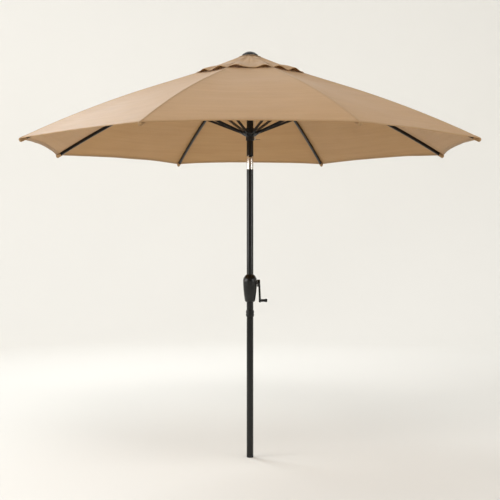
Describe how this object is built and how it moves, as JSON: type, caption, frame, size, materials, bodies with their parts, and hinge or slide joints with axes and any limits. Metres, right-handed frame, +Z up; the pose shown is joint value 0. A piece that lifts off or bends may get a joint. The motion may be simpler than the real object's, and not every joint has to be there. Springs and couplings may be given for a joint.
{
  "type": "patio umbrella",
  "caption": "Market umbrella with an octagonal vented cloth canopy on folding ribs, a crank-lift pole with a push-button tilt, and a plain pole foot for a separate base.",
  "frame": {"origin": "centre of the pole's foot, on its axis at the lowest point", "axes": "+Z up along the pole; +X towards the crank's knob; -Y is the front, a flat side of the octagon; the tilt button is on +Y"},
  "size_m": [2.3876, 2.3876, 2.297],
  "materials": {
    "black_rubber": "matt",
    "bronze_paint": "satin dark bronze powder coat",
    "rib_paint": "satin dark bronze powder coat",
    "strut_paint": "satin dark bronze powder coat",
    "black_plastic": "moulded, fine grain",
    "housing_plastic": "moulded, satin",
    "bright_chrome": "polished",
    "steel": "zinc plated",
    "white_nylon": "natural nylon",
    "white_cord": "braided polyester",
    "tan_canvas": "slub woven polyester"
  },
  "bodies": {
    "lower_frame": {"foot_cap": "black_rubber", "lower_pole": "bronze_paint", "middle_pole": "bronze_paint", "pole_collar": "black_plastic", "snap_spring": "steel", "housing_front": "housing_plastic", "housing_rear": "housing_plastic", "housing_screws": "steel", "shaft_bushes": "white_nylon", "tilt_socket": "bright_chrome", "tilt_pin": "steel", "button_spring": "steel", "lift_cord_lower": "white_cord"},
    "snap_button": {"snap_button": "steel"},
    "crank": {"cord_spool": "steel", "crank_arm": "housing_plastic"},
    "crank_knob": {"crank_knob": "housing_plastic"},
    "tilt_button": {"tilt_button": "black_plastic"},
    "upper_frame": {"tilt_tongue": "black_plastic", "upper_pole": "bronze_paint", "crown_hub": "black_plastic", "crown_ring": "steel", "pulley": "white_nylon", "finial": "housing_plastic", "lift_cord_upper": "white_cord"},
    "rib_1": {"rib_1": "rib_paint", "rib_fittings_1": "black_plastic", "canopy_gore_1": "tan_canvas"},
    "strut_1": {"strut_1": "strut_paint"},
    "rib_2": {"rib_2": "rib_paint", "rib_fittings_2": "black_plastic", "canopy_gore_2": "tan_canvas"},
    "strut_2": {"strut_2": "strut_paint"},
    "rib_3": {"rib_3": "rib_paint", "rib_fittings_3": "black_plastic", "canopy_gore_3": "tan_canvas"},
    "strut_3": {"strut_3": "strut_paint"},
    "rib_4": {"rib_4": "rib_paint", "rib_fittings_4": "black_plastic", "canopy_gore_4": "tan_canvas"},
    "strut_4": {"strut_4": "strut_paint"},
    "rib_5": {"rib_5": "rib_paint", "rib_fittings_5": "black_plastic", "canopy_gore_5": "tan_canvas"},
    "strut_5": {"strut_5": "strut_paint"},
    "rib_6": {"rib_6": "rib_paint", "rib_fittings_6": "black_plastic", "canopy_gore_6": "tan_canvas"},
    "strut_6": {"strut_6": "strut_paint"},
    "rib_7": {"rib_7": "rib_paint", "rib_fittings_7": "black_plastic", "canopy_gore_7": "tan_canvas"},
    "strut_7": {"strut_7": "strut_paint"},
    "rib_8": {"rib_8": "rib_paint", "rib_fittings_8": "black_plastic", "canopy_gore_8": "tan_canvas"},
    "strut_8": {"strut_8": "strut_paint"},
    "runner": {"runner": "black_plastic", "runner_ring": "steel", "cord_knot": "white_cord"}
  },
  "joints": [
    {"name": "canopy_tilt", "type": "hinge", "parent": "lower_frame", "child": "upper_frame", "pos_m": [0, 0, 1.69], "axis": [0, 1, 0], "range_deg": [-30, 0]},
    {"name": "rib_1_fold", "type": "hinge", "parent": "upper_frame", "child": "rib_1", "pos_m": [0.03696, 0.01531, 2.244], "axis": [-0.3827, 0.9239, 0], "range_deg": [0, 62.5], "deforming": ["canopy_gore_1", "lift_cord_upper"]},
    {"name": "strut_1_pivot", "type": "hinge", "parent": "rib_1", "child": "strut_1", "pos_m": [0.51878, 0.21488, 2.04], "axis": [-0.3827, 0.9239, 0], "range_deg": [-125, 0]},
    {"name": "rib_2_fold", "type": "hinge", "parent": "upper_frame", "child": "rib_2", "pos_m": [0.01531, 0.03696, 2.244], "axis": [-0.9239, 0.3827, 0], "range_deg": [0, 62.5], "deforming": ["canopy_gore_2"]},
    {"name": "strut_2_pivot", "type": "hinge", "parent": "rib_2", "child": "strut_2", "pos_m": [0.21488, 0.51878, 2.04], "axis": [-0.9239, 0.3827, 0], "range_deg": [-125, 0]},
    {"name": "rib_3_fold", "type": "hinge", "parent": "upper_frame", "child": "rib_3", "pos_m": [-0.01531, 0.03696, 2.244], "axis": [-0.9239, -0.3827, 0], "range_deg": [0, 62.5], "deforming": ["canopy_gore_3"]},
    {"name": "strut_3_pivot", "type": "hinge", "parent": "rib_3", "child": "strut_3", "pos_m": [-0.21488, 0.51878, 2.04], "axis": [-0.9239, -0.3827, 0], "range_deg": [-125, 0]},
    {"name": "rib_4_fold", "type": "hinge", "parent": "upper_frame", "child": "rib_4", "pos_m": [-0.03696, 0.01531, 2.244], "axis": [-0.3827, -0.9239, 0], "range_deg": [0, 62.5], "deforming": ["canopy_gore_4"]},
    {"name": "strut_4_pivot", "type": "hinge", "parent": "rib_4", "child": "strut_4", "pos_m": [-0.51878, 0.21488, 2.04], "axis": [-0.3827, -0.9239, 0], "range_deg": [-125, 0]},
    {"name": "rib_5_fold", "type": "hinge", "parent": "upper_frame", "child": "rib_5", "pos_m": [-0.03696, -0.01531, 2.244], "axis": [0.3827, -0.9239, 0], "range_deg": [0, 62.5], "deforming": ["canopy_gore_5"]},
    {"name": "strut_5_pivot", "type": "hinge", "parent": "rib_5", "child": "strut_5", "pos_m": [-0.51878, -0.21488, 2.04], "axis": [0.3827, -0.9239, 0], "range_deg": [-125, 0]},
    {"name": "rib_6_fold", "type": "hinge", "parent": "upper_frame", "child": "rib_6", "pos_m": [-0.01531, -0.03696, 2.244], "axis": [0.9239, -0.3827, 0], "range_deg": [0, 62.5], "deforming": ["canopy_gore_6"]},
    {"name": "strut_6_pivot", "type": "hinge", "parent": "rib_6", "child": "strut_6", "pos_m": [-0.21488, -0.51878, 2.04], "axis": [0.9239, -0.3827, 0], "range_deg": [-125, 0]},
    {"name": "rib_7_fold", "type": "hinge", "parent": "upper_frame", "child": "rib_7", "pos_m": [0.01531, -0.03696, 2.244], "axis": [0.9239, 0.3827, 0], "range_deg": [0, 62.5], "deforming": ["canopy_gore_7"]},
    {"name": "strut_7_pivot", "type": "hinge", "parent": "rib_7", "child": "strut_7", "pos_m": [0.21488, -0.51878, 2.04], "axis": [0.9239, 0.3827, 0], "range_deg": [-125, 0]},
    {"name": "rib_8_fold", "type": "hinge", "parent": "upper_frame", "child": "rib_8", "pos_m": [0.03696, -0.01531, 2.244], "axis": [0.3827, 0.9239, 0], "range_deg": [0, 62.5], "deforming": ["canopy_gore_8"]},
    {"name": "strut_8_pivot", "type": "hinge", "parent": "rib_8", "child": "strut_8", "pos_m": [0.51878, -0.21488, 2.04], "axis": [0.3827, 0.9239, 0], "range_deg": [-125, 0]},
    {"name": "runner_pivot", "type": "hinge", "parent": "strut_1", "child": "runner", "pos_m": [0.03696, 0.01531, 1.836], "axis": [-0.3827, 0.9239, 0], "range_deg": [0, 62.5]},
    {"name": "crank_turn", "type": "hinge", "parent": "lower_frame", "child": "crank", "pos_m": [0, 0, 0.987], "axis": [1, 0, 0], "range_deg": [0, 3960]},
    {"name": "knob_spin", "type": "hinge", "parent": "crank", "child": "crank_knob", "pos_m": [0.08, 0, 0.889], "axis": [1, 0, 0], "continuous": true},
    {"name": "tilt_button_press", "type": "slide", "parent": "lower_frame", "child": "tilt_button", "axis": [0, -1, 0], "range_m": [0, 0.0035], "stiffness_N_per_m": 600, "deforming": ["button_spring"]},
    {"name": "snap_button_press", "type": "slide", "parent": "lower_frame", "child": "snap_button", "axis": [0, -1, 0], "range_m": [0, 0.003], "stiffness_N_per_m": 1500, "deforming": ["snap_spring"]}
  ],
  "couplings": [
    {"joint": "strut_1_pivot", "follows": "rib_1_fold", "ratio": -2},
    {"joint": "rib_2_fold", "follows": "rib_1_fold", "ratio": 1},
    {"joint": "strut_2_pivot", "follows": "rib_1_fold", "ratio": -2},
    {"joint": "rib_3_fold", "follows": "rib_1_fold", "ratio": 1},
    {"joint": "strut_3_pivot", "follows": "rib_1_fold", "ratio": -2},
    {"joint": "rib_4_fold", "follows": "rib_1_fold", "ratio": 1},
    {"joint": "strut_4_pivot", "follows": "rib_1_fold", "ratio": -2},
    {"joint": "rib_5_fold", "follows": "rib_1_fold", "ratio": 1},
    {"joint": "strut_5_pivot", "follows": "rib_1_fold", "ratio": -2},
    {"joint": "rib_6_fold", "follows": "rib_1_fold", "ratio": 1},
    {"joint": "strut_6_pivot", "follows": "rib_1_fold", "ratio": -2},
    {"joint": "rib_7_fold", "follows": "rib_1_fold", "ratio": 1},
    {"joint": "strut_7_pivot", "follows": "rib_1_fold", "ratio": -2},
    {"joint": "rib_8_fold", "follows": "rib_1_fold", "ratio": 1},
    {"joint": "strut_8_pivot", "follows": "rib_1_fold", "ratio": -2},
    {"joint": "runner_pivot", "follows": "rib_1_fold", "ratio": 1},
    {"joint": "crank_turn", "follows": "rib_1_fold", "ratio": 63.36}
  ]
}
